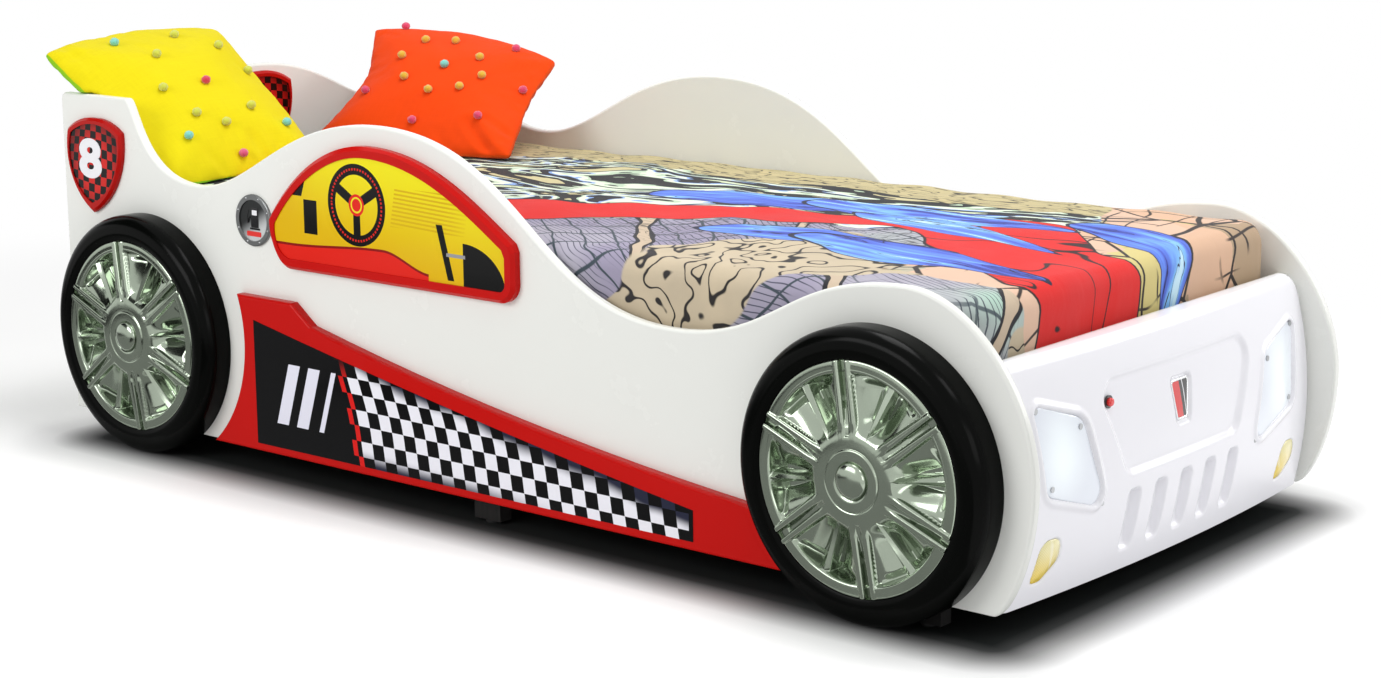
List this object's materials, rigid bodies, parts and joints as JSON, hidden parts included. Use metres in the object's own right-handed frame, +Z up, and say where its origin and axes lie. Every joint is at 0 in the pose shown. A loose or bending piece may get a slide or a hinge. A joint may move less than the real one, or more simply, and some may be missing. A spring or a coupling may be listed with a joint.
{
  "type": "car bed for children",
  "caption": "Racing-car bed for a child: white shaped side panels with wheels, red sills and windows, moulded nose with lamps, slatted base, mattress, printed cover, two pillows.",
  "frame": {"origin": "on the floor, under the middle of the bed", "axes": "+X towards the nose at the foot end, +Y to the left of the bed, +Z up"},
  "size_m": [2.207, 1.0844, 0.745],
  "materials": {
    "white_board": "gloss white lacquer on board",
    "white_shell": "gloss white thermoformed plastic",
    "clear_lens": "clear polished plastic",
    "amber_lens": "pale amber translucent plastic",
    "lamp_board": "white circuit board with white lamps",
    "small_screw": "zinc plated",
    "emblem": "gloss red and black with a bright rim",
    "black_plastic": "satin black",
    "red_plastic": "gloss red",
    "tyre_shell": "gloss black thermoformed plastic",
    "silver_trim": "bright silver plating",
    "raw_board": "raw chipboard",
    "red_board": "gloss red lacquer on board",
    "sill_print": "gloss print, black and white check",
    "window_print": "gloss print, yellow and red",
    "badge_frame": "gloss red",
    "badge_print": "gloss print, black and red check",
    "fuel_cap": "brushed ring, dark middle",
    "pine": "planed pine",
    "birch": "sanded birch",
    "glide": "satin black",
    "zinc": "zinc plated",
    "mattress_cloth": "woven ticking",
    "cover_cloth": "printed cotton in many colours",
    "yellow_cloth": "plain cotton, yellow",
    "orange_cloth": "plain cotton, orange red"
  },
  "bodies": {
    "bed": {"battery_box": "black_plastic", "bearer_rail_left": "pine", "bearer_rail_right": "pine", "button_collar": "black_plastic", "centre_beam": "pine", "corner_brackets": "zinc", "emblem_plate": "emblem", "fog_lens_left": "amber_lens", "fog_lens_right": "amber_lens", "footboard": "white_board", "frame_screws": "small_screw", "front_fascia": "white_shell", "fuel_cap_left": "fuel_cap", "fuel_cap_right": "fuel_cap", "fuel_cap_screws": "small_screw", "glides": "glide", "headboard": "white_board", "headboard_badge": "badge_frame", "headboard_badge_print": "badge_print", "headlight_lens_left": "clear_lens", "headlight_lens_right": "clear_lens", "headlight_screws": "small_screw", "led_boards": "lamp_board", "legs": "pine", "side_panel_left": "white_board", "side_panel_right": "white_board", "sill_left": "red_board", "sill_print_left": "sill_print", "sill_print_right": "sill_print", "sill_right": "red_board", "slats": "birch", "switch_body": "black_plastic", "tail_badge_left": "badge_frame", "tail_badge_print_left": "badge_print", "tail_badge_print_right": "badge_print", "tail_badge_right": "badge_frame", "tyre_front_left": "tyre_shell", "tyre_front_right": "tyre_shell", "tyre_rear_left": "tyre_shell", "tyre_rear_right": "tyre_shell", "wheel_cap_front_left": "silver_trim", "wheel_cap_front_right": "silver_trim", "wheel_cap_rear_left": "silver_trim", "wheel_cap_rear_right": "silver_trim", "wheel_discs": "raw_board", "wheel_screws": "small_screw", "wheel_trim_front_left": "silver_trim", "wheel_trim_front_right": "silver_trim", "wheel_trim_rear_left": "silver_trim", "wheel_trim_rear_right": "silver_trim", "window_frame_left": "red_board", "window_frame_right": "red_board", "window_print_left": "window_print", "window_print_right": "window_print"},
    "button": {"button_cap": "red_plastic"},
    "mattress": {"mattress": "mattress_cloth", "bedcover": "cover_cloth"},
    "pillow_yellow": {"pillow_yellow": "yellow_cloth"},
    "pillow_orange": {"pillow_orange": "orange_cloth"}
  },
  "joints": [
    {"name": "button_press", "type": "slide", "parent": "bed", "child": "button", "axis": [-1, 0, 0], "range_m": [0, 0.003], "stiffness_N_per_m": 300, "springref_m": -0.001},
    {"name": "mattress_lift", "type": "slide", "parent": "bed", "child": "mattress", "axis": [0, 0, 1], "range_m": [0, 0.4]},
    {"name": "pillow_yellow_lift", "type": "slide", "parent": "mattress", "child": "pillow_yellow", "axis": [0, 0, 1], "range_m": [0, 0.3]},
    {"name": "pillow_orange_lift", "type": "slide", "parent": "mattress", "child": "pillow_orange", "axis": [0, 0, 1], "range_m": [0, 0.3]}
  ]
}
